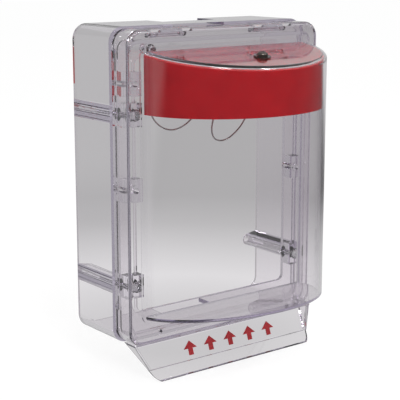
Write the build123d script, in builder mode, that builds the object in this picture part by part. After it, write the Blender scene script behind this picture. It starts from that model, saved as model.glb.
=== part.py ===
from build123d import *
import math
import os

# Clear lift-up protective cover for a wall call point: a deep back box, a screwed-on frame,
# a hinged bow-front shield with a red hood inside it, and a steel tether.
# Millimetres. X to the right, Z up, the wall is the plane Y = 0 and the cover stands out towards -Y.
# A depth is a distance out from the wall, so a point at depth d has Y = -d.
# The pieces are drawn about the middle of the frame, and saved about the middle of the wall holes.

# Overall outline, which is the frame's
FRAME_W = 187.0
FRAME_H = 240.0
FRAME_R = 12.0

# Back box
BOX_OVER = 3.0
BOX_D = 50.0
BOX_WALL = 3.5
BOX_R = 12.0
NOTCH_W = 51.0
NOTCH_D = 22.0
BOSS_INSET = 11.5
BOSS_DROP = 63.0
BOSS_RISE = 45.5
BOSS_R = 5.0
BOSS_ROOT_W = 14.0
WALL_HOLE_R = 2.5

# Gasket between the back box and the frame
GASKET_T = 1.5
GASKET_W = 4.5
GASKET_INSET = 1.0

# Frame
FRAME_T = 3.0
OPENING_SIDE = 17.5
OPENING_END = 22.0
OPENING_R = 5.0
COLLAR_T = 2.5
COLLAR_D = 11.5
COLLAR_HINGE_GAP = 1.0
BLOCK_D = 8.5
BLOCK_H = 18.0
BLOCK_MID_Z = 0.0
BLOCK_HIGH_DROP = 40.0
RING_R = 4.6
RING_H = 0.8

# Shield
SKIRT_T = 3.0
SKIRT_DEPTH = 17.5
SKIRT_GAP = 0.5
COLLAR_GAP = 1.2
FLANGE_T = 3.0
FLANGE_EDGE_R = 3.6
STEP_MARGIN = 3.0
STEP_H = 1.4
STEP_R = 7.0
BOW_INSET = 13.0
BOW_P = 69.0
BOW_DROP = 15.5
BOW_RISE = 20.5
BOW_TOP_SLOPE = 0.144
BOW_BOTTOM_SLOPE = 0.124
BOW_T = 2.5
BOW_RIM_R = 4.0
BOW_FOOT_R = 2.0
SEAL_HOLE_R = 1.5
SEAL_HOLE_INSET = 27.5
SEAL_HOLE_RISE = 9.0
BOW_SPARE = 20.0

# Lift lip under the shield
LIP_T = 2.5
LIP_INSET = 2.5
LIP_TAPER = 14.0
LIP_CREASE_OUT = 6.5
LIP_CREASE_DOWN = 18.0
LIP_STEP = 1.0
LIP_CORNER_R = 10.0
LIP_TIP_OUT = 13.5
LIP_TIP_DOWN = 26.0
MARK_COUNT = 5
MARK_PITCH = 20.0
MARK_W = 13.0
MARK_H = 11.5
MARK_STEM_W = 4.6
MARK_HEAD_H = 6.2
MARK_T = 0.15

# Red hood in the top of the bow
HOOD_T = 1.6
HOOD_GAP = 0.3
HOOD_H = 46.5

# Hinge
KNUCKLE_R = 3.5
KNUCKLE_INSET = 43.5
KNUCKLE_W = 20.0
LUG_W = 6.0
HINGE_SIDE_GAP = 0.5
PIN_R = 1.5
PIN_FIT = 0.05
PIN_HEAD_R = 2.6
PIN_HEAD_T = 1.2
PIN_TAIL = 1.6
CLIP_R = 3.0
CLIP_T = 0.6
HINGE_NOTCH_D = 4.5
HINGE_RELIEF = 3.5

# Frame screws
SCREW_R = 2.0
SCREW_FIT = 0.05
SCREW_HOLE_R = 2.25
SCREW_GRIP = 26.0
SCREW_HEAD_R = 4.0
SCREW_HEAD_H = 2.8
SCREW_HEAD_TAPER = 14.0
SCREW_RECESS = (4.4, 1.1, 1.7)
RECESS_TAPER = 12.0
SCREW_WASHER_R = 4.5
SCREW_WASHER_T = 0.8
PILOT_D = 34.0

# Tether hardware
TETHER_OUT = 39.5
TETHER_SCREW_R = 2.0
TETHER_HEAD_R = 4.2
TETHER_HEAD_H = 3.0
TETHER_DOME_R = 2.4
TETHER_RECESS = (3.6, 1.0, 1.5)
TETHER_WASHER_R = 6.5
TETHER_WASHER_T = 1.0
TETHER_HOLE_R = 2.2
LOCK_WASHER_R = 3.6
LOCK_WASHER_T = 0.8
NUT_AF = 7.0
NUT_T = 3.2
SCREW_TAIL = 1.2
TERMINAL_R = 4.0
TERMINAL_T = 0.8
TERMINAL_NECK = 1.5
TERMINAL_NECK_W = 2.2
BARREL_R = 1.4
BARREL_L = 8.0
BARREL_LAP = 1.0
ANCHOR_INSET = 31.5
ANCHOR_DROP = 16.0
ANCHOR_SCREW_R = 1.5
ANCHOR_HOLE_R = 1.65
ANCHOR_HEAD_R = 3.0
ANCHOR_HEAD_H = 2.2
ANCHOR_HEAD_TAPER = 12.0
ANCHOR_RECESS = (3.2, 0.8, 1.2)
ANCHOR_WASHER_R = 3.5
ANCHOR_WASHER_T = 0.5
ANCHOR_BOSS_R = 4.0
ANCHOR_BOSS_D = 7.0
ANCHOR_GRIP = 8.0

# Tether cable
CABLE_D = 1.2
CABLE_LEAD_DOWN = 9.0
CABLE_LEAD_BACK = 7.0

# Depths and places that follow from the sizes above
BOX_W = FRAME_W + BOX_OVER
BOX_H = FRAME_H + BOX_OVER
FRAME_BACK = BOX_D + GASKET_T
FRAME_FACE = FRAME_BACK + FRAME_T
SKIRT_BACK = FRAME_FACE + SKIRT_GAP
FLANGE_FRONT = SKIRT_BACK + SKIRT_DEPTH
FLANGE_BACK = FLANGE_FRONT - FLANGE_T
AXIS_DEPTH = SKIRT_BACK + KNUCKLE_R
AXIS_Z = FRAME_H / 2 - KNUCKLE_R
COLLAR_HALF_W = FRAME_W / 2 - SKIRT_T - COLLAR_GAP
COLLAR_BOTTOM = -FRAME_H / 2 + SKIRT_T + COLLAR_GAP
COLLAR_TOP = AXIS_Z - KNUCKLE_R - COLLAR_HINGE_GAP
BLOCK_SEAT = FRAME_FACE + BLOCK_D
OPENING_W = FRAME_W - 2 * OPENING_SIDE
OPENING_H = FRAME_H - 2 * OPENING_END
BOW_W = FRAME_W - 2 * BOW_INSET
BOW_TOP = FRAME_H / 2 - BOW_DROP
BOW_BOTTOM = BOW_RISE - FRAME_H / 2
LIP_TOP_W = FRAME_W - 2 * LIP_INSET
LIP_TIP_W = LIP_TOP_W - 2 * LIP_TAPER
HOOD_BOTTOM = BOW_TOP - HOOD_H
KNUCKLE_X = FRAME_W / 2 - KNUCKLE_INSET
TETHER_DEPTH = FLANGE_FRONT + TETHER_OUT
ANCHOR_X = ANCHOR_INSET - FRAME_W / 2
ANCHOR_Z = FRAME_H / 2 - ANCHOR_DROP
SEAL_HOLE_X = SEAL_HOLE_INSET - FRAME_W / 2
SEAL_HOLE_Z = SEAL_HOLE_RISE - FRAME_H / 2
BOSS_X = FRAME_W / 2 - BOSS_INSET
BOSS_Z_UP = FRAME_H / 2 - BOSS_DROP
BOSS_Z_LOW = BOSS_RISE - FRAME_H / 2
BLOCK_HIGH_Z = FRAME_H / 2 - BLOCK_HIGH_DROP
ORIGIN_RISE = -(BOSS_Z_UP + BOSS_Z_LOW) / 2
BOSS_PLACES = [(side * BOSS_X, z) for side in (-1, 1) for z in (BOSS_Z_UP, BOSS_Z_LOW)]
RING_PLACES = [(side * BOSS_X, z) for side in (-1, 1) for z in (BLOCK_HIGH_Z, BLOCK_MID_Z)]
BLOCK_PLACES = BOSS_PLACES + RING_PLACES
CUT = 1.0

os.makedirs("parts", exist_ok=True)


def wall_plane(depth):
    """A sketch plane parallel to the wall: sketch x is X, sketch y is Z, its normal points out."""
    return Plane.XZ.offset(depth)


def facing_out(x, depth, z):
    """A plane parallel to the wall with its origin at a chosen point."""
    return Plane(origin=(x, -depth, z), x_dir=(1, 0, 0), z_dir=(0, -1, 0))


def save(part, name):
    """Write a piece, moved up so that the origin is the middle of the four wall holes."""
    part = part.moved(Location((0, 0, ORIGIN_RISE)))
    part.label = name
    export_step(part, "parts/" + name + ".step")


def cross_recess(head_top, recess):
    """Cut a cross recess, given as its length, width and depth, into the head whose face is head_top."""
    size, width, depth = recess
    with BuildSketch(head_top) as cross:
        Rectangle(size, width)
        Rectangle(width, size)
    extrude(cross.sketch, amount=-depth, taper=RECESS_TAPER, mode=Mode.SUBTRACT)


def bow_prism(half_width, reach, back_depth, drop):
    """The half-oval bow as a solid, its walls moved in by drop from the outer top and bottom."""
    top = Plane(
        origin=(0, -FLANGE_FRONT, BOW_TOP - drop * math.hypot(1, BOW_TOP_SLOPE)),
        x_dir=(1, 0, 0),
        z_dir=(0, -BOW_TOP_SLOPE, 1),
    )
    bottom = Plane(
        origin=(0, -FLANGE_FRONT, BOW_BOTTOM + drop * math.hypot(1, BOW_BOTTOM_SLOPE)),
        x_dir=(1, 0, 0),
        z_dir=(0, BOW_BOTTOM_SLOPE, 1),
    )
    with BuildPart() as prism:
        with BuildSketch(Plane.XY.offset(BOW_BOTTOM - BOW_SPARE)):
            with BuildLine():
                front = EllipticalCenterArc(
                    (0, -FLANGE_FRONT), half_width, reach, start_angle=180, arc_size=180
                )
                Polyline(
                    front @ 1,
                    (half_width, -back_depth),
                    (-half_width, -back_depth),
                    front @ 0,
                )
            make_face()
        extrude(amount=BOW_TOP - BOW_BOTTOM + 2 * BOW_SPARE)
        split(bisect_by=top, keep=Keep.BOTTOM)
        split(bisect_by=bottom, keep=Keep.TOP)
    return prism.part


def front_rim(part, where):
    """The curved edge between the bow's window and its top or bottom."""
    return part.faces().sort_by(Axis.Z)[where].edges().sort_by(Axis.Y)[0:1]


# Back box: open spacer box with conduit notches and four screw bosses that reach back to the wall
with BuildPart() as back_box:
    with BuildSketch(wall_plane(0)):
        RectangleRounded(BOX_W, BOX_H, BOX_R)
        RectangleRounded(
            BOX_W - 2 * BOX_WALL, BOX_H - 2 * BOX_WALL, BOX_R - BOX_WALL, mode=Mode.SUBTRACT
        )
    extrude(amount=BOX_D)
    with BuildSketch(wall_plane(0)):
        with Locations(*BOSS_PLACES):
            Circle(BOSS_R)
    extrude(amount=FRAME_BACK)
    root_x = BOX_W / 2 - BOX_WALL / 2
    with BuildSketch(wall_plane(0)):
        for x, z in BOSS_PLACES:
            with BuildLine():
                Polyline(
                    (x, z + BOSS_R),
                    (math.copysign(root_x, x), z + BOSS_ROOT_W / 2),
                    (math.copysign(root_x, x), z - BOSS_ROOT_W / 2),
                    (x, z - BOSS_R),
                    close=True,
                )
            make_face()
    extrude(amount=BOX_D)
    with BuildSketch(wall_plane(FRAME_BACK - PILOT_D)):
        with Locations(*BOSS_PLACES):
            Circle(SCREW_R + SCREW_FIT)
    extrude(amount=PILOT_D, mode=Mode.SUBTRACT)
    with BuildSketch(wall_plane(0)):
        with Locations(*BOSS_PLACES):
            Circle(WALL_HOLE_R)
    extrude(amount=FRAME_BACK - PILOT_D, mode=Mode.SUBTRACT)
    with BuildSketch(wall_plane(0)):
        Rectangle(NOTCH_W, BOX_H + CUT)
    extrude(amount=NOTCH_D, mode=Mode.SUBTRACT)
save(back_box.part, "back_box")

# Gasket: a thin closed ring between the front edge of the box and the frame
with BuildPart() as frame_gasket:
    gasket_out_w = FRAME_W - 2 * GASKET_INSET
    gasket_out_h = FRAME_H - 2 * GASKET_INSET
    with BuildSketch(wall_plane(BOX_D)):
        RectangleRounded(gasket_out_w, gasket_out_h, FRAME_R - GASKET_INSET)
        RectangleRounded(
            gasket_out_w - 2 * GASKET_W,
            gasket_out_h - 2 * GASKET_W,
            FRAME_R - GASKET_INSET - GASKET_W,
            mode=Mode.SUBTRACT,
        )
    extrude(amount=GASKET_T)
save(frame_gasket.part, "frame_gasket")

# Frame: base plate, forward collar, screw blocks, hinge lugs and the tether's anchor boss
collar_h = COLLAR_TOP - COLLAR_BOTTOM
collar_z = (COLLAR_TOP + COLLAR_BOTTOM) / 2
collar_r = FRAME_R - SKIRT_T - COLLAR_GAP
block_in = COLLAR_HALF_W - BOSS_X + SCREW_WASHER_R
lug_inner = KNUCKLE_X - KNUCKLE_W / 2 - HINGE_SIDE_GAP - LUG_W
lug_outer = KNUCKLE_X + KNUCKLE_W / 2 + HINGE_SIDE_GAP
with BuildPart() as frame:
    with BuildSketch(wall_plane(FRAME_BACK)):
        RectangleRounded(FRAME_W, FRAME_H, FRAME_R)
        RectangleRounded(OPENING_W, OPENING_H, OPENING_R, mode=Mode.SUBTRACT)
    extrude(amount=FRAME_T)
    with BuildSketch(wall_plane(FRAME_FACE)):
        with Locations((0, collar_z)):
            RectangleRounded(2 * COLLAR_HALF_W, collar_h, collar_r)
            RectangleRounded(
                2 * (COLLAR_HALF_W - COLLAR_T),
                collar_h - 2 * COLLAR_T,
                collar_r - COLLAR_T,
                mode=Mode.SUBTRACT,
            )
    extrude(amount=COLLAR_D)
    with BuildSketch(wall_plane(FRAME_FACE)):
        for x, z in BLOCK_PLACES:
            with Locations((math.copysign(COLLAR_HALF_W - COLLAR_T / 2 - block_in / 2, x), z)):
                Rectangle(block_in, BLOCK_H)
    extrude(amount=BLOCK_D)
    with BuildSketch(wall_plane(BLOCK_SEAT)):
        with Locations(*RING_PLACES):
            Circle(RING_R)
    extrude(amount=RING_H)
    with BuildSketch(wall_plane(FRAME_BACK)):
        with Locations(*BLOCK_PLACES):
            Circle(SCREW_HOLE_R)
    extrude(amount=BLOCK_SEAT + RING_H - FRAME_BACK, mode=Mode.SUBTRACT)
    for side in (-1, 1):
        for start in (lug_inner, lug_outer):
            lug_x = side * (start + LUG_W / 2)
            with BuildSketch(Plane.YZ.offset(lug_x)):
                with Locations((-AXIS_DEPTH, AXIS_Z)):
                    Circle(KNUCKLE_R)
                with Locations(((-AXIS_DEPTH - FRAME_FACE) / 2, AXIS_Z)):
                    Rectangle(AXIS_DEPTH - FRAME_FACE, 2 * KNUCKLE_R)
            extrude(amount=LUG_W / 2, both=True)
            with BuildSketch(Plane.YZ.offset(lug_x)):
                with Locations((-AXIS_DEPTH, AXIS_Z)):
                    Circle(PIN_R + PIN_FIT)
            extrude(amount=LUG_W / 2, both=True, mode=Mode.SUBTRACT)
    with BuildSketch(wall_plane(FRAME_BACK - ANCHOR_BOSS_D)):
        with Locations((ANCHOR_X, ANCHOR_Z)):
            Circle(ANCHOR_BOSS_R)
    extrude(amount=ANCHOR_BOSS_D)
    with BuildSketch(wall_plane(FRAME_FACE)):
        with Locations((ANCHOR_X, ANCHOR_Z)):
            Circle(ANCHOR_SCREW_R + SCREW_FIT)
    extrude(amount=-(FRAME_T + ANCHOR_BOSS_D), mode=Mode.SUBTRACT)
save(frame.part, "frame")

# Bow-front window: an outer half-oval with a drafted top and bottom, and the hollow inside it
bow_outer = bow_prism(BOW_W / 2, BOW_P, FLANGE_BACK, 0.0)
bow_outer = fillet(front_rim(bow_outer, -1), BOW_RIM_R)
bow_outer = fillet(front_rim(bow_outer, 0), BOW_FOOT_R)
bow_inner = bow_prism(BOW_W / 2 - BOW_T, BOW_P - BOW_T, FLANGE_BACK - CUT, BOW_T)
bow_inner = fillet(front_rim(bow_inner, -1), BOW_RIM_R - BOW_T)

# Lift lip: a front panel that steps in at a crease and flares out to a round-cornered tip,
# with tapering side gussets, open at the back
lip_front = [
    (-FLANGE_FRONT, -FRAME_H / 2 + SKIRT_T / 2),
    (-FLANGE_FRONT, -FRAME_H / 2),
    (-FLANGE_FRONT - LIP_CREASE_OUT, -FRAME_H / 2 - LIP_CREASE_DOWN),
    (-FLANGE_FRONT - LIP_CREASE_OUT + LIP_STEP, -FRAME_H / 2 - LIP_CREASE_DOWN),
    (-FLANGE_FRONT - LIP_TIP_OUT, -FRAME_H / 2 - LIP_TIP_DOWN),
]
lip_heel = (-SKIRT_BACK - SKIRT_T, -FRAME_H / 2 + SKIRT_T / 2)


def lip_wedge(set_back, side_inset):
    """The lip's outer wedge, or with offsets the hollow behind its front panel."""
    profile = [(y + set_back, z) for y, z in lip_front]
    tip_y, tip_z = profile[-1]
    with BuildPart() as wedge:
        with BuildSketch(Plane.YZ):
            with BuildLine():
                Polyline(*profile, (tip_y + LIP_T, tip_z - set_back / 2), lip_heel, close=True)
            make_face()
        extrude(amount=LIP_TOP_W / 2, both=True)
        with BuildSketch(wall_plane(SKIRT_BACK)) as outline:
            with BuildLine():
                top_x = LIP_TOP_W / 2 - side_inset
                tip_x = LIP_TIP_W / 2 - side_inset
                top_z = -FRAME_H / 2 + SKIRT_T
                end_z = -FRAME_H / 2 - LIP_TIP_DOWN - CUT
                Polyline((-top_x, top_z), (top_x, top_z), (tip_x, end_z), (-tip_x, end_z), close=True)
            make_face()
            fillet(outline.vertices().group_by(Axis.Y)[0], LIP_CORNER_R)
        extrude(amount=SKIRT_DEPTH + LIP_TIP_OUT + CUT, mode=Mode.INTERSECT)
    return wedge.part


lip_outer = lip_wedge(0.0, 0.0)
with BuildPart() as lip_hollow:
    add(lip_wedge(LIP_T, LIP_T))
    with BuildSketch(Plane.XY.offset(-FRAME_H / 2)):
        with Locations((0, -FLANGE_FRONT)):
            Rectangle(FRAME_W, 2 * FLANGE_FRONT)
    extrude(amount=SKIRT_T, mode=Mode.SUBTRACT)

# Shield: skirt, flange, root step, bow window, hinge knuckles and lip in one clear moulding
step_h = BOW_TOP - BOW_BOTTOM + 2 * STEP_MARGIN
step_z = (BOW_TOP + BOW_BOTTOM) / 2
with BuildPart() as shield:
    with BuildSketch(wall_plane(SKIRT_BACK)):
        RectangleRounded(FRAME_W, FRAME_H, FRAME_R)
    extrude(amount=SKIRT_DEPTH)
    fillet(shield.faces().sort_by(Axis.Y)[0].edges(), FLANGE_EDGE_R)
    with BuildSketch(wall_plane(SKIRT_BACK)):
        RectangleRounded(FRAME_W - 2 * SKIRT_T, FRAME_H - 2 * SKIRT_T, FRAME_R - SKIRT_T)
    extrude(amount=SKIRT_DEPTH - FLANGE_T, mode=Mode.SUBTRACT)
    with BuildSketch(wall_plane(FLANGE_FRONT)):
        with Locations((0, step_z)):
            RectangleRounded(BOW_W + 2 * STEP_MARGIN, step_h, STEP_R)
    extrude(amount=STEP_H)
    add(bow_outer)
    add(bow_inner, mode=Mode.SUBTRACT)
    add(lip_outer)
    add(lip_hollow.part, mode=Mode.SUBTRACT)
    with BuildSketch(wall_plane(FLANGE_BACK)):
        with Locations((SEAL_HOLE_X, SEAL_HOLE_Z)):
            Circle(SEAL_HOLE_R)
    extrude(amount=FLANGE_T, mode=Mode.SUBTRACT)
    with BuildSketch(wall_plane(SKIRT_BACK)):
        with Locations((0, AXIS_Z)):
            Rectangle(FRAME_W + CUT, 2 * (KNUCKLE_R + HINGE_RELIEF))
    extrude(amount=AXIS_DEPTH - SKIRT_BACK, mode=Mode.SUBTRACT)
    for side in (-1, 1):
        notch_in = lug_inner - PIN_TAIL - CUT
        notch_out = lug_outer + LUG_W + PIN_HEAD_T + CUT
        with BuildSketch(wall_plane(AXIS_DEPTH)):
            with Locations((side * (notch_in + notch_out) / 2, FRAME_H / 2)):
                Rectangle(notch_out - notch_in, 2 * (SKIRT_T + CUT))
        extrude(amount=HINGE_NOTCH_D, mode=Mode.SUBTRACT)
        with BuildSketch(Plane.YZ.offset(side * KNUCKLE_X)):
            with Locations((-AXIS_DEPTH, AXIS_Z)):
                Circle(KNUCKLE_R)
            with Locations((-AXIS_DEPTH - HINGE_NOTCH_D / 2, FRAME_H / 2 - SKIRT_T / 2)):
                Rectangle(HINGE_NOTCH_D + CUT, SKIRT_T)
        extrude(amount=KNUCKLE_W / 2, both=True)
        with BuildSketch(Plane.YZ.offset(side * KNUCKLE_X)):
            with Locations((-AXIS_DEPTH, AXIS_Z)):
                Circle(PIN_R + PIN_FIT)
        extrude(amount=KNUCKLE_W / 2, both=True, mode=Mode.SUBTRACT)
    shelf = Plane(
        origin=(0, -TETHER_DEPTH, BOW_TOP - BOW_TOP_SLOPE * (TETHER_DEPTH - FLANGE_FRONT)),
        x_dir=(1, 0, 0),
        z_dir=(0, -BOW_TOP_SLOPE, 1),
    )
    with BuildSketch(shelf):
        Circle(TETHER_HOLE_R)
    extrude(amount=-(BOW_T + CUT), mode=Mode.SUBTRACT)
save(shield.part, "shield")

# Red hood: a curved band and a half-moon top plate that lies under the shelf
hood_in = BOW_T + HOOD_GAP
with BuildPart() as label_hood:
    add(bow_prism(BOW_W / 2 - hood_in, BOW_P - hood_in, FLANGE_BACK, hood_in))
    fillet(front_rim(label_hood, -1), BOW_RIM_R - BOW_T)
    add(
        bow_prism(
            BOW_W / 2 - hood_in - HOOD_T,
            BOW_P - hood_in - HOOD_T,
            FLANGE_BACK - CUT,
            hood_in + HOOD_T,
        ),
        mode=Mode.SUBTRACT,
    )
    with BuildSketch(Plane.XY.offset(BOW_BOTTOM)):
        with Locations((0, -FLANGE_FRONT)):
            Rectangle(2 * BOW_W, 4 * BOW_P)
    extrude(amount=HOOD_BOTTOM - BOW_BOTTOM, mode=Mode.SUBTRACT)
    with BuildSketch(shelf):
        Circle(TETHER_HOLE_R)
    extrude(amount=-(hood_in + HOOD_T + CUT), mode=Mode.SUBTRACT)
save(label_hood.part, "label_hood")

# Lift marks: a row of plain arrows set on the lip's upper panel
panel_mid_y = -FLANGE_FRONT - LIP_CREASE_OUT / 2
panel_mid_z = -FRAME_H / 2 - LIP_CREASE_DOWN / 2
panel = Plane(
    origin=(0, panel_mid_y, panel_mid_z),
    x_dir=(1, 0, 0),
    z_dir=(0, -LIP_CREASE_DOWN, LIP_CREASE_OUT),
)
mark_slope = math.degrees(math.atan2(MARK_HEAD_H, MARK_W / 2))
with BuildPart() as lift_marks:
    with BuildSketch(panel):
        with GridLocations(MARK_PITCH, MARK_PITCH, MARK_COUNT, 1):
            with Locations((0, MARK_H / 2 - MARK_HEAD_H)):
                Triangle(a=MARK_W, B=mark_slope, C=mark_slope, align=(Align.CENTER, Align.MIN))
            with Locations((0, -MARK_HEAD_H / 2)):
                Rectangle(MARK_STEM_W, MARK_H - MARK_HEAD_H)
    extrude(amount=MARK_T)
save(lift_marks.part, "lift_marks")


def hinge_pin(side):
    """Headed pin through both lugs and the knuckle, its head on the outer side."""
    inner = lug_inner - PIN_TAIL
    outer = lug_outer + LUG_W
    with BuildPart() as pin:
        with BuildSketch(Plane.YZ.offset(side * inner)):
            with Locations((-AXIS_DEPTH, AXIS_Z)):
                Circle(PIN_R)
        extrude(amount=side * (outer - inner))
        with BuildSketch(Plane.YZ.offset(side * outer)):
            with Locations((-AXIS_DEPTH, AXIS_Z)):
                Circle(PIN_HEAD_R)
        extrude(amount=side * PIN_HEAD_T)
    return pin.part


save(hinge_pin(-1), "hinge_pin_left")
save(hinge_pin(1), "hinge_pin_right")

# Push-on clips that hold the pins
with BuildPart() as hinge_pin_clips:
    for side in (-1, 1):
        with BuildSketch(Plane.YZ.offset(side * lug_inner)):
            with Locations((-AXIS_DEPTH, AXIS_Z)):
                Circle(CLIP_R)
                Circle(PIN_R + PIN_FIT, mode=Mode.SUBTRACT)
        extrude(amount=-side * CLIP_T)
save(hinge_pin_clips.part, "hinge_pin_clips")

# Frame screws and their washers
screw_head_top = BLOCK_SEAT + SCREW_WASHER_T + SCREW_HEAD_H
with BuildPart() as frame_screws:
    for place in BOSS_PLACES:
        with BuildSketch(wall_plane(FRAME_BACK - SCREW_GRIP)):
            with Locations(place):
                Circle(SCREW_R)
        extrude(amount=BLOCK_SEAT + SCREW_WASHER_T - FRAME_BACK + SCREW_GRIP)
        with BuildSketch(wall_plane(BLOCK_SEAT + SCREW_WASHER_T)):
            with Locations(place):
                Circle(SCREW_HEAD_R)
        extrude(amount=SCREW_HEAD_H, taper=SCREW_HEAD_TAPER)
        x, z = place
        cross_recess(facing_out(x, screw_head_top, z), SCREW_RECESS)
save(frame_screws.part, "frame_screws")

with BuildPart() as frame_screw_washers:
    with BuildSketch(wall_plane(BLOCK_SEAT)):
        with Locations(*BOSS_PLACES):
            Circle(SCREW_WASHER_R)
            Circle(SCREW_HOLE_R, mode=Mode.SUBTRACT)
    extrude(amount=SCREW_WASHER_T)
save(frame_screw_washers.part, "frame_screw_washers")

# Tether hardware under and over the shelf, along the shelf's own normal
under_hood = -(hood_in + HOOD_T)
lock_top = under_hood - TERMINAL_T
nut_top = lock_top - LOCK_WASHER_T
screw_end = nut_top - NUT_T - SCREW_TAIL
with BuildPart() as tether_screw:
    with BuildSketch(shelf.offset(TETHER_WASHER_T)):
        Circle(TETHER_SCREW_R)
    extrude(amount=screw_end - TETHER_WASHER_T)
    with BuildSketch(shelf.offset(TETHER_WASHER_T)):
        Circle(TETHER_HEAD_R)
    extrude(amount=TETHER_HEAD_H)
    fillet(tether_screw.faces().sort_by(Axis.Z)[-1].edges(), TETHER_DOME_R)
    cross_recess(shelf.offset(TETHER_WASHER_T + TETHER_HEAD_H), TETHER_RECESS)
save(tether_screw.part, "tether_screw")

with BuildPart() as tether_washer:
    with BuildSketch(shelf):
        Circle(TETHER_WASHER_R)
        Circle(TETHER_HOLE_R, mode=Mode.SUBTRACT)
    extrude(amount=TETHER_WASHER_T)
save(tether_washer.part, "tether_washer")

with BuildPart() as tether_lock_washer:
    with BuildSketch(shelf.offset(lock_top)):
        Circle(LOCK_WASHER_R)
        Circle(TETHER_HOLE_R, mode=Mode.SUBTRACT)
    extrude(amount=-LOCK_WASHER_T)
save(tether_lock_washer.part, "tether_lock_washer")

with BuildPart() as tether_nut:
    with BuildSketch(shelf.offset(nut_top)):
        RegularPolygon(NUT_AF / 2, 6, major_radius=False)
        Circle(TETHER_SCREW_R + SCREW_FIT, mode=Mode.SUBTRACT)
    extrude(amount=-NUT_T)
save(tether_nut.part, "tether_nut")


def ring_terminal(face, hole_r):
    """Ring terminal lying on the plane face, its barrel reaching along the plane's -y."""
    barrel_start = TERMINAL_R + TERMINAL_NECK
    with BuildPart() as terminal:
        with BuildSketch(face):
            Circle(TERMINAL_R)
            with Locations((0, -barrel_start / 2)):
                Rectangle(TERMINAL_NECK_W, barrel_start)
            Circle(hole_r, mode=Mode.SUBTRACT)
        extrude(amount=TERMINAL_T)
        barrel = Plane(
            origin=face.from_local_coords((0, BARREL_LAP - barrel_start, BARREL_R)),
            x_dir=face.x_dir,
            z_dir=-face.y_dir,
        )
        with BuildSketch(barrel):
            Circle(BARREL_R)
        extrude(amount=BARREL_L)
    end = face.from_local_coords((0, BARREL_LAP - barrel_start - BARREL_L, BARREL_R))
    return terminal.part, end


# The shield's terminal hangs under the hood and points back; the frame's points down
shield_face = Plane(origin=shelf.offset(under_hood).origin, x_dir=(1, 0, 0), z_dir=-shelf.z_dir)
tether_shield_terminal, cable_end = ring_terminal(shield_face, TETHER_HOLE_R)
cable_end_dir = -shield_face.y_dir
save(tether_shield_terminal, "tether_shield_terminal")

frame_terminal_face = facing_out(ANCHOR_X, FRAME_FACE, ANCHOR_Z)
tether_frame_terminal, cable_start = ring_terminal(frame_terminal_face, ANCHOR_HOLE_R)
save(tether_frame_terminal, "tether_frame_terminal")

with BuildPart() as tether_anchor_washer:
    with BuildSketch(wall_plane(FRAME_FACE + TERMINAL_T)):
        with Locations((ANCHOR_X, ANCHOR_Z)):
            Circle(ANCHOR_WASHER_R)
            Circle(ANCHOR_HOLE_R, mode=Mode.SUBTRACT)
    extrude(amount=ANCHOR_WASHER_T)
save(tether_anchor_washer.part, "tether_anchor_washer")

anchor_seat = FRAME_FACE + TERMINAL_T + ANCHOR_WASHER_T
with BuildPart() as tether_anchor_screw:
    with BuildSketch(wall_plane(FRAME_FACE - ANCHOR_GRIP)):
        with Locations((ANCHOR_X, ANCHOR_Z)):
            Circle(ANCHOR_SCREW_R)
    extrude(amount=ANCHOR_GRIP + anchor_seat - FRAME_FACE)
    with BuildSketch(wall_plane(anchor_seat)):
        with Locations((ANCHOR_X, ANCHOR_Z)):
            Circle(ANCHOR_HEAD_R)
    extrude(amount=ANCHOR_HEAD_H, taper=ANCHOR_HEAD_TAPER)
    cross_recess(facing_out(ANCHOR_X, anchor_seat + ANCHOR_HEAD_H, ANCHOR_Z), ANCHOR_RECESS)
save(tether_anchor_screw.part, "tether_anchor_screw")

# Tether cable: down from the frame's terminal, two loops under the hood, up to the shield's
# Each loop's points are given as x, depth and height from what the loop hangs from
SIDE_LOOP = [
    (-1.5, 3.0, -31.0),
    (-5.0, 7.0, -40.5),
    (-4.5, 10.5, -50.5),
    (2.5, 12.0, -58.0),
    (12.5, 12.0, -61.0),
    (23.5, 11.0, -59.0),
    (32.5, 12.0, -52.5),
    (36.5, 16.0, -44.0),
]
MIDDLE_LOOP = [
    (-25.0, 7.0, -43.0),
    (-27.0, 13.0, -51.0),
    (-28.0, 15.0, -60.0),
    (-22.0, 16.0, -67.0),
    (-12.0, 16.0, -67.5),
    (-3.0, 16.0, -62.0),
    (4.0, 15.5, -53.5),
    (7.5, 13.5, -43.0),
    (7.0, 11.0, -32.0),
    (4.5, 9.5, -21.5),
    (1.5, 12.0, -12.5),
]
CABLE_ROUTE = [
    cable_start,
    cable_start - Vector(0, 0, CABLE_LEAD_DOWN),
    *[(ANCHOR_X + x, -FRAME_FACE - out, ANCHOR_Z + up) for x, out, up in SIDE_LOOP],
    *[(x, -FLANGE_FRONT - out, BOW_TOP + up) for x, out, up in MIDDLE_LOOP],
    cable_end + cable_end_dir * CABLE_LEAD_BACK,
    cable_end,
]


def route_radii(points):
    """One radius for each inner point: 0.45 of the shorter run over the tangent of half the turn."""
    radii = []
    for before, here, after in zip(points, points[1:], points[2:]):
        run_in = Vector(*here) - Vector(*before)
        run_out = Vector(*after) - Vector(*here)
        half_turn = math.radians(run_in.get_angle(run_out)) / 2
        radii.append(0.45 * min(run_in.length, run_out.length) / math.tan(half_turn))
    return radii


cable_points = [tuple(Vector(*point)) for point in CABLE_ROUTE]
cable_radii = route_radii(cable_points)
with BuildPart() as tether_cable:
    with BuildLine() as cable_line:
        FilletPolyline(*cable_points, radius=cable_radii)
    start_run = Vector(*cable_points[1]) - Vector(*cable_points[0])
    with BuildSketch(Plane(origin=cable_points[0], z_dir=start_run)):
        Circle(CABLE_D / 2)
    sweep()
save(tether_cable.part, "tether_cable")

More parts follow.
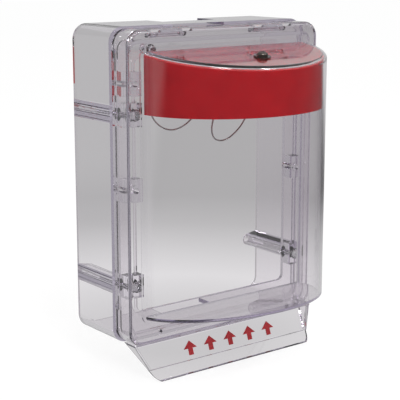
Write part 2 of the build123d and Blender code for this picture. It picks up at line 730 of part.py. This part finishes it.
cable_length = sum(edge.length for edge in cable_line.edges())
print("cable radii", [round(radius, 1) for radius in cable_radii])
print("cable length", round(cable_length, 1), "volume", round(tether_cable.part.volume, 1),
      "section x length", round(math.pi * CABLE_D ** 2 / 4 * cable_length, 1))
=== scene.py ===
import math

import bmesh
import bpy
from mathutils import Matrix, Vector


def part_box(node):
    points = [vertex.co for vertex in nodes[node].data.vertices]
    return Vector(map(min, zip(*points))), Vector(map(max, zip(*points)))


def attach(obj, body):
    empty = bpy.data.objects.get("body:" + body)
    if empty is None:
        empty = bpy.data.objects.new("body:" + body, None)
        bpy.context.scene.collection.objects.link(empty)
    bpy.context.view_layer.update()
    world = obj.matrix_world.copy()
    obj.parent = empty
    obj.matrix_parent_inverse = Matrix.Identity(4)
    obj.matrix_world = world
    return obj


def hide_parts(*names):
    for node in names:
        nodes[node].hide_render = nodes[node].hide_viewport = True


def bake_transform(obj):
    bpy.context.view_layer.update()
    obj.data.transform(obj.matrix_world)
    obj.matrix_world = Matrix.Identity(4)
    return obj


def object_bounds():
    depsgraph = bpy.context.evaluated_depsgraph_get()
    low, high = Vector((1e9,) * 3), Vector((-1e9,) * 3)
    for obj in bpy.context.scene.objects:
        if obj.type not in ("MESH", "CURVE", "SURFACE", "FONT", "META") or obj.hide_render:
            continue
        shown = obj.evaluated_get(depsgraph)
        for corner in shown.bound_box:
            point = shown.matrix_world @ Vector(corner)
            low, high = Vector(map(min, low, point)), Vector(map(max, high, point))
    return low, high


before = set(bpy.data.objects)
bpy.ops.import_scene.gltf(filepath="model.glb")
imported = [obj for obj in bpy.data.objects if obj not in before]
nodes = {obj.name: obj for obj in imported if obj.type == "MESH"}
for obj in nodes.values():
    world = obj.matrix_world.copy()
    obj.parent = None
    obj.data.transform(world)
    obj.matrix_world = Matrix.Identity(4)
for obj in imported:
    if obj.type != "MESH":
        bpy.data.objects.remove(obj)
cad_low, cad_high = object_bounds()

scene = bpy.context.scene
scene.view_settings.view_transform = "Standard"

# Clear walls behind clear walls: light takes many turns inside them before it leaves
CLEAR_TURNS = 32
GLOSSY_TURNS = 16

scene.cycles.max_bounces = CLEAR_TURNS
scene.cycles.transmission_bounces = CLEAR_TURNS
scene.cycles.glossy_bounces = GLOSSY_TURNS


# Camera: a little above the cover, about 38 degrees round to its left side, looking a little down
CAMERA_PLACE = (-0.5652, -0.7674, 0.18485)
CAMERA_TURN = math.radians(37.72)
CAMERA_DOWN = math.radians(12.12)
CAMERA_LENS = 104.6
CAMERA_SENSOR = 36.0
CAMERA_NEAR = 0.05
CAMERA_FAR = 50.0

camera_data = bpy.data.cameras.new("view_camera")
camera_data.lens = CAMERA_LENS
camera_data.sensor_width = CAMERA_SENSOR
camera_data.clip_start = CAMERA_NEAR
camera_data.clip_end = CAMERA_FAR
camera = bpy.data.objects.new("view_camera", camera_data)
camera.location = CAMERA_PLACE
camera.rotation_euler = (math.pi / 2 - CAMERA_DOWN, 0.0, -CAMERA_TURN)
scene.collection.objects.link(camera)
scene.camera = camera


# Small helpers for node materials. Nearly all values of a noise lie in NOISE_REACH
NOISE_REACH = (0.3, 0.7)


def material(name):
    mat = bpy.data.materials.new(name)
    mat.use_nodes = True
    mat.node_tree.nodes.clear()
    return mat, mat.node_tree


def node(tree, kind, **values):
    made = tree.nodes.new(kind)
    for key, value in values.items():
        setattr(made, key, value)
    return made


def join(tree, source, output, target, socket):
    tree.links.new(source.outputs[output], target.inputs[socket])


def object_noise(tree, scale, detail=2.0, stretch=(1, 1, 1)):
    """Noise in object space, in metres, so that it is the same from every side."""
    place = node(tree, "ShaderNodeTexCoord")
    mapping = node(tree, "ShaderNodeMapping")
    mapping.inputs["Scale"].default_value = stretch
    noise = node(tree, "ShaderNodeTexNoise")
    noise.inputs["Scale"].default_value = scale
    noise.inputs["Detail"].default_value = detail
    join(tree, place, "Object", mapping, "Vector")
    join(tree, mapping, "Vector", noise, "Vector")
    return noise


def ramp(tree, source, output, stops):
    """Colour ramp over a value, from (place, colour) pairs."""
    made = node(tree, "ShaderNodeValToRGB")
    elements = made.color_ramp.elements
    elements[0].position, elements[0].color = stops[0][0], (*stops[0][1], 1)
    elements[1].position, elements[1].color = stops[-1][0], (*stops[-1][1], 1)
    for where, colour in stops[1:-1]:
        extra = elements.new(where)
        extra.color = (*colour, 1)
    join(tree, source, output, made, "Fac")
    return made


def tones(tree, noise, colours):
    """Colour that wanders between the two colours with the noise."""
    return ramp(tree, noise, "Fac", list(zip(NOISE_REACH, colours)))


def span(tree, noise, levels):
    """Value that wanders between the two levels with the noise."""
    made = node(tree, "ShaderNodeMapRange")
    made.inputs["From Min"].default_value = NOISE_REACH[0]
    made.inputs["From Max"].default_value = NOISE_REACH[1]
    made.inputs["To Min"].default_value = levels[0]
    made.inputs["To Max"].default_value = levels[1]
    join(tree, noise, "Fac", made, "Value")
    return made


def bump(tree, noise, strength, distance):
    made = node(tree, "ShaderNodeBump")
    made.inputs["Strength"].default_value = strength
    made.inputs["Distance"].default_value = distance
    join(tree, noise, "Fac", made, "Height")
    return made


def dress(mat, *objects):
    for obj in objects:
        obj.data.materials.clear()
        obj.data.materials.append(mat)


# Clear polycarbonate: refraction with a faint cool tint that deepens along the edges
CLEAR_BASE = (0.985, 0.966, 0.982, 1)
CLEAR_DEPTH = (0.79, 0.75, 0.86, 1)
CLEAR_DENSITY = 26.0
CLEAR_ROUGHNESS = (0.0, 0.02)
CLEAR_IOR = 1.56
SCRATCH_DETAIL = 3.0
RIPPLE_SCALE = 30.0
RIPPLE_DETAIL = 1.0
RIPPLE_STRENGTH = 0.02
RIPPLE_DEPTH = 0.0004


def clear_plastic(name, scratch, density=CLEAR_DENSITY, roughness=CLEAR_ROUGHNESS, ior=CLEAR_IOR):
    mat, tree = material(name)
    out = node(tree, "ShaderNodeOutputMaterial")
    shader = node(tree, "ShaderNodeBsdfPrincipled")
    shader.inputs["Base Color"].default_value = CLEAR_BASE
    shader.inputs["Transmission Weight"].default_value = 1.0
    shader.inputs["IOR"].default_value = ior
    fine = object_noise(tree, scratch, SCRATCH_DETAIL)
    join(tree, span(tree, fine, roughness), "Result", shader, "Roughness")
    waves = object_noise(tree, RIPPLE_SCALE, RIPPLE_DETAIL)
    ripple = bump(tree, waves, RIPPLE_STRENGTH, RIPPLE_DEPTH)
    join(tree, ripple, "Normal", shader, "Normal")
    absorb = node(tree, "ShaderNodeVolumeAbsorption")
    absorb.inputs["Color"].default_value = CLEAR_DEPTH
    absorb.inputs["Density"].default_value = density
    join(tree, shader, "BSDF", out, "Surface")
    join(tree, absorb, "Volume", out, "Volume")
    return mat


dress(clear_plastic("clear_box", 320.0), nodes["back_box"])
dress(clear_plastic("clear_frame", 380.0), nodes["frame"])
dress(clear_plastic("clear_shield", 300.0), nodes["shield"])


# The seal is squeezed between the box and the frame. It lies a hair clear of both,
# so that light crosses from one clear piece to the next
SEAL_THIN = 0.96
SEAL_DENSITY = 40.0
SEAL_ROUGHNESS = (0.12, 0.25)
SEAL_IOR = 1.42

seal_mesh = nodes["frame_gasket"].data.copy()
seal_low, seal_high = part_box("frame_gasket")
seal_middle = (seal_low[1] + seal_high[1]) / 2
for vertex in seal_mesh.vertices:
    vertex.co.y = seal_middle + SEAL_THIN * (vertex.co.y - seal_middle)
seal_ring = bpy.data.objects.new("seal_ring", seal_mesh)
scene.collection.objects.link(seal_ring)
dress(clear_plastic("clear_seal", 260.0, SEAL_DENSITY, SEAL_ROUGHNESS, SEAL_IOR), seal_ring)
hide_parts("frame_gasket")
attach(seal_ring, "housing")


# Red plastic, moulded for the hood and printed for the marks on the lip
GRAIN_DETAIL = 3.0
TOOTH_SCALE = 1800.0
TOOTH_STRENGTH = 0.15
TOOTH_DEPTH = 0.00004


def plastic(name, colours, scale, roughness, gloss):
    mat, tree = material(name)
    out = node(tree, "ShaderNodeOutputMaterial")
    shader = node(tree, "ShaderNodeBsdfPrincipled")
    shader.inputs["Specular IOR Level"].default_value = gloss
    grain = object_noise(tree, scale, GRAIN_DETAIL)
    join(tree, tones(tree, grain, colours), "Color", shader, "Base Color")
    join(tree, span(tree, grain, roughness), "Result", shader, "Roughness")
    tooth = bump(tree, object_noise(tree, TOOTH_SCALE), TOOTH_STRENGTH, TOOTH_DEPTH)
    join(tree, tooth, "Normal", shader, "Normal")
    join(tree, shader, "BSDF", out, "Surface")
    return mat


HOOD_RED = [(0.58, 0.006, 0.014), (0.66, 0.010, 0.018)]
MARK_RED = [(0.46, 0.016, 0.024), (0.52, 0.022, 0.030)]

dress(plastic("red_hood", HOOD_RED, 60.0, (0.30, 0.42), 0.2), nodes["label_hood"])
dress(plastic("red_mark", MARK_RED, 400.0, (0.4, 0.55), 0.5), nodes["lift_marks"])


# Metals, with a fine brushed grain. A shine under 1 leaves some of the plain colour
GROOVE_STRENGTH = 0.25
GROOVE_DEPTH = 0.00003


def metal(name, colours, scale, roughness, shine, stretch=(1, 1, 1)):
    mat, tree = material(name)
    out = node(tree, "ShaderNodeOutputMaterial")
    shader = node(tree, "ShaderNodeBsdfPrincipled")
    shader.inputs["Metallic"].default_value = shine
    brushed = object_noise(tree, scale, GRAIN_DETAIL, stretch)
    join(tree, tones(tree, brushed, colours), "Color", shader, "Base Color")
    join(tree, span(tree, brushed, roughness), "Result", shader, "Roughness")
    grooves = bump(tree, brushed, GROOVE_STRENGTH, GROOVE_DEPTH)
    join(tree, grooves, "Normal", shader, "Normal")
    join(tree, shader, "BSDF", out, "Surface")
    return mat


SCREW_GREY = [(0.80, 0.81, 0.83), (0.90, 0.90, 0.91)]
# The washers' grey is darker than the screw steel as painted shade: it gives each screw head a dark
# ring of shade round it
WASHER_PAINTED_SHADE_GREY = [(0.22, 0.22, 0.23), (0.34, 0.34, 0.35)]
PIN_GREY = [(0.62, 0.63, 0.66), (0.76, 0.77, 0.79)]
DARK_BRONZE = [(0.065, 0.055, 0.050), (0.13, 0.115, 0.105)]
TINNED_GREY = [(0.50, 0.50, 0.49), (0.66, 0.66, 0.64)]
CABLE_GREY = [(0.42, 0.42, 0.42), (0.62, 0.61, 0.60)]
ALONG_PIN = (0.1, 1, 1)

dress(
    metal("screw_steel", SCREW_GREY, 900.0, (0.14, 0.26), 0.75),
    nodes["frame_screws"],
    nodes["tether_anchor_screw"],
)
# Washers in a darker steel than the screws: painted shade for the dark ring round each screw head
dress(
    metal("washer_steel_painted_shade", WASHER_PAINTED_SHADE_GREY, 900.0, (0.16, 0.28), 0.95),
    nodes["frame_screw_washers"],
    nodes["tether_anchor_washer"],
)
dress(
    metal("pin_steel", PIN_GREY, 700.0, (0.20, 0.34), 0.6, ALONG_PIN),
    nodes["hinge_pin_left"],
    nodes["hinge_pin_right"],
    nodes["hinge_pin_clips"],
)
dress(
    metal("dark_steel", DARK_BRONZE, 800.0, (0.07, 0.18), 0.9),
    nodes["tether_screw"],
    nodes["tether_washer"],
)
dress(
    metal("tether_metal", TINNED_GREY, 900.0, (0.25, 0.42), 0.8),
    nodes["tether_lock_washer"],
    nodes["tether_nut"],
    nodes["tether_shield_terminal"],
    nodes["tether_frame_terminal"],
)


# Tether cable: six twisted strands along one smooth line by the same points as the solid, in metres
CABLE_POINTS = [
    (-0.0620, -0.0559, 0.10025),
    (-0.0620, -0.0559, 0.09125),
    (-0.0635, -0.0575, 0.08175),
    (-0.0670, -0.0615, 0.07225),
    (-0.0665, -0.0650, 0.06225),
    (-0.0595, -0.0665, 0.05475),
    (-0.0495, -0.0665, 0.05175),
    (-0.0385, -0.0655, 0.05375),
    (-0.0295, -0.0665, 0.06025),
    (-0.0255, -0.0705, 0.06875),
    (-0.0235, -0.0795, 0.07025),
    (-0.0245, -0.0855, 0.06225),
    (-0.0290, -0.0875, 0.05325),
    (-0.0265, -0.0885, 0.04500),
    (-0.0160, -0.0885, 0.04350),
    (-0.0050, -0.0885, 0.04950),
    (0.0040, -0.0880, 0.05800),
    (0.0090, -0.0860, 0.06850),
    (0.0070, -0.0835, 0.08125),
    (0.0045, -0.0820, 0.09175),
    (0.0015, -0.0845, 0.10075),
    (0.0, -0.09187, 0.1046),
    (0.0, -0.09880, 0.1036),
]
CABLE_DIAMETER = 0.0012
ROUTE_ORDER = 3
ROUTE_STEPS = 18
# Six round strands lie about a middle as wide as one of them
STRANDS = 6
STRAND_R = CABLE_DIAMETER / 6
STRAND_LAY = 0.0085
STRAND_SIDES = 6


def smooth_line(points):
    """Places along the spline that these points control, as Blender works them out."""
    curve = bpy.data.curves.new("tether_route", "CURVE")
    curve.dimensions = "3D"
    curve.resolution_u = ROUTE_STEPS
    spline = curve.splines.new("NURBS")
    spline.points.add(len(points) - 1)
    for point, place in zip(spline.points, points):
        point.co = (*place, 1.0)
    spline.order_u = ROUTE_ORDER
    spline.use_endpoint_u = True
    route = bpy.data.objects.new("tether_route", curve)
    line = bpy.data.meshes.new_from_object(route)
    places = [vertex.co.copy() for vertex in line.vertices]
    bpy.data.meshes.remove(line)
    bpy.data.objects.remove(route)
    bpy.data.curves.remove(curve)
    return places


def directions(places):
    """Direction of the line at each place, with a side vector that never twists about it."""
    along = []
    for index in range(len(places)):
        before = places[max(index - 1, 0)]
        after = places[min(index + 1, len(places) - 1)]
        along.append((after - before).normalized())
    side = along[0].orthogonal().normalized()
    frames = []
    for direction in along:
        side = (side - direction * side.dot(direction)).normalized()
        frames.append((direction, side))
    return frames


def add_strand(build, places, frames, start_turn):
    """A round strand beside the line, turning once round it in each lay length."""
    rings = []
    travelled = 0.0
    for index, (place, (direction, side)) in enumerate(zip(places, frames)):
        if index:
            travelled += (place - places[index - 1]).length
        other = direction.cross(side)
        turn = start_turn + math.tau * travelled / STRAND_LAY
        middle = place + 2 * STRAND_R * (math.cos(turn) * side + math.sin(turn) * other)
        ring = []
        for corner in range(STRAND_SIDES):
            angle = turn + math.tau * corner / STRAND_SIDES
            outward = math.cos(angle) * side + math.sin(angle) * other
            ring.append(build.verts.new(middle + STRAND_R * outward))
        rings.append(ring)
    for first, second in zip(rings, rings[1:]):
        for corner in range(STRAND_SIDES):
            after = (corner + 1) % STRAND_SIDES
            build.faces.new((first[corner], first[after], second[after], second[corner]))
    build.faces.new(list(reversed(rings[0])))
    build.faces.new(rings[-1])


cable_line = smooth_line(CABLE_POINTS)
cable_frames = directions(cable_line)
cable_build = bmesh.new()
for number in range(STRANDS):
    add_strand(cable_build, cable_line, cable_frames, math.tau * number / STRANDS)
cable_mesh = bpy.data.meshes.new("steel_tether")
cable_build.to_mesh(cable_mesh)
cable_build.free()
cable_mesh.shade_smooth()
steel_tether = bpy.data.objects.new("steel_tether", cable_mesh)
scene.collection.objects.link(steel_tether)
dress(metal("cable_steel", CABLE_GREY, 1400.0, (0.30, 0.45), 0.5), steel_tether)
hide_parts("tether_cable")
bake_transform(steel_tether)


# Floor, world and lamps. The eye meets a white room. Clear plastic and metal show the same room,
# but greyer than white, as in the photograph: paler on the floor near the cover and behind it,
# darker far off and in front of it. Distances and reaches on the floor are in metres
ROOM_LIGHT = 0.85
ROOM_WHITE = 1.0
WORLD_THROUGH = 0.43
WORLD_MIRRORED = (0.08, 0.60)
WORLD_REACH = (0.08, 0.40)
FLOOR_DULL = 0.15
FLOOR_WHITE = 0.86
FLOOR_LIGHT = 0.75
FLOOR_THROUGH = [(0.05, 0.62), (0.19, 0.79), (0.42, 0.55), (0.58, 0.47)]
FLOOR_MIRRORED = (0.07, 0.60)
FLOOR_BEHIND = (0.15, 0.80)
FLOOR_NEAR = (0.25, 0.75)
FLOOR_SIZE = 6.0
FLOOR_GAP = 0.0005
# One middling level of the room for what was mirrored twice, or mirrored and three times refracted
DEEP_GLEAM = 0.46


def feed(tree, target, socket, value):
    """Set a socket to a number, or join another node's output to it."""
    if isinstance(value, float):
        target.inputs[socket].default_value = value
    else:
        tree.links.new(value, target.inputs[socket])


def mix(tree, factor, low, high):
    made = node(tree, "ShaderNodeMix")
    feed(tree, made, "Factor", factor)
    feed(tree, made, "A", low)
    feed(tree, made, "B", high)
    return made.outputs["Result"]


def combine(tree, operation, first, second):
    made = node(tree, "ShaderNodeMath", operation=operation, use_clamp=True)
    feed(tree, made, 0, first)
    feed(tree, made, 1, second)
    return made.outputs["Value"]


def at_least(tree, depth, times):
    """1 where the light path has turned at least so many times, else 0."""
    return combine(tree, "GREATER_THAN", depth, times - 0.5)


def spread(tree, value, reach, levels):
    """Levels from the first to the second as the value runs over its reach."""
    made = node(tree, "ShaderNodeMapRange", interpolation_type="SMOOTHSTEP")
    feed(tree, made, "Value", value)
    feed(tree, made, "From Min", reach[0])
    feed(tree, made, "From Max", reach[1])
    feed(tree, made, "To Min", levels[0])
    feed(tree, made, "To Max", levels[1])
    return made.outputs["Result"]


def room_strength(tree, path, through, mirrored, lit):
    """Strength of the room where the eye doesn't meet it.

    It has a level where it is seen through clear plastic, one where it is mirrored, and its light.
    """
    pictured = combine(tree, "MAXIMUM", path["Is Glossy Ray"], path["Is Transmission Ray"])
    dulled = at_least(tree, path["Diffuse Depth"], 1)
    sharp = combine(tree, "SUBTRACT", pictured, dulled)
    reflected = at_least(tree, path["Glossy Depth"], 1)
    again = at_least(tree, path["Glossy Depth"], 2)
    inside = at_least(tree, path["Transmission Depth"], 3)
    gleam = mix(tree, combine(tree, "MAXIMUM", again, inside), mirrored, DEEP_GLEAM)
    seen = mix(tree, reflected, through, gleam)
    return mix(tree, sharp, lit, seen)


def floor_material():
    mat, tree = material("floor")
    out = node(tree, "ShaderNodeOutputMaterial")
    dull = node(tree, "ShaderNodeBsdfDiffuse")
    dull.inputs["Color"].default_value = (FLOOR_DULL, FLOOR_DULL, FLOOR_DULL, 1)
    place = node(tree, "ShaderNodeTexCoord")
    distance = node(tree, "ShaderNodeVectorMath", operation="LENGTH")
    join(tree, place, "Object", distance, 0)
    split = node(tree, "ShaderNodeSeparateXYZ")
    join(tree, place, "Object", split, "Vector")
    greys = [(where, (level, level, level)) for where, level in FLOOR_THROUGH]
    through = ramp(tree, distance, "Value", greys).outputs["Color"]
    behind = spread(tree, split.outputs["Y"], FLOOR_BEHIND, FLOOR_MIRRORED)
    near = spread(tree, distance.outputs["Value"], FLOOR_NEAR, FLOOR_MIRRORED[::-1])
    mirrored = combine(tree, "MAXIMUM", behind, near)
    path = node(tree, "ShaderNodeLightPath")
    white = node(tree, "ShaderNodeEmission")
    white.inputs["Strength"].default_value = FLOOR_WHITE
    plain = node(tree, "ShaderNodeAddShader")
    join(tree, dull, "BSDF", plain, 0)
    join(tree, white, "Emission", plain, 1)
    glow = node(tree, "ShaderNodeEmission")
    strength = room_strength(tree, path.outputs, through, mirrored, FLOOR_LIGHT)
    feed(tree, glow, "Strength", strength)
    choice = node(tree, "ShaderNodeMixShader")
    join(tree, path, "Is Camera Ray", choice, "Fac")
    join(tree, glow, "Emission", choice, 1)
    join(tree, plain, "Shader", choice, 2)
    join(tree, choice, "Shader", out, "Surface")
    return mat


floor_mesh = bpy.data.meshes.new("floor")
floor_build = bmesh.new()
bmesh.ops.create_grid(floor_build, x_segments=1, y_segments=1, size=FLOOR_SIZE)
floor_build.to_mesh(floor_mesh)
floor_build.free()
floor = bpy.data.objects.new("floor", floor_mesh)
floor.location = (0, 0, cad_low.z - FLOOR_GAP)
scene.collection.objects.link(floor)
dress(floor_material(), floor)


def studio_world():
    world = bpy.data.worlds.new("studio")
    world.use_nodes = True
    tree = world.node_tree
    tree.nodes.clear()
    out = node(tree, "ShaderNodeOutputWorld")
    room = node(tree, "ShaderNodeBackground")
    room.inputs["Color"].default_value = (1, 1, 1, 1)
    place = node(tree, "ShaderNodeTexCoord")
    split = node(tree, "ShaderNodeSeparateXYZ")
    join(tree, place, "Generated", split, "Vector")
    behind_or_above = combine(tree, "MAXIMUM", split.outputs["Y"], split.outputs["Z"])
    mirrored = spread(tree, behind_or_above, WORLD_REACH, WORLD_MIRRORED)
    path = node(tree, "ShaderNodeLightPath")
    around = room_strength(tree, path.outputs, WORLD_THROUGH, mirrored, ROOM_LIGHT)
    strength = mix(tree, path.outputs["Is Camera Ray"], around, ROOM_WHITE)
    feed(tree, room, "Strength", strength)
    join(tree, room, "Background", out, "Surface")
    return world


scene.world = studio_world()

# Square softboxes, both aimed at the middle of the cover: name, place, size and power
LAMP_AIM = (0, -0.07, 0)
LAMPS = [
    ("key_softbox", (-0.5, -1.2, 1.2), 0.5, 12.0),
    ("side_softbox", (0.7, -1.1, 1.3), 0.3, 7.0),
]

for name, place, size, power in LAMPS:
    lamp_data = bpy.data.lights.new(name, "AREA")
    lamp_data.shape = "RECTANGLE"
    lamp_data.size = size
    lamp_data.size_y = size
    lamp_data.energy = power
    lamp = bpy.data.objects.new(name, lamp_data)
    lamp.location = place
    lamp.rotation_euler = (Vector(LAMP_AIM) - Vector(place)).to_track_quat("-Z", "Y").to_euler()
    scene.collection.objects.link(lamp)
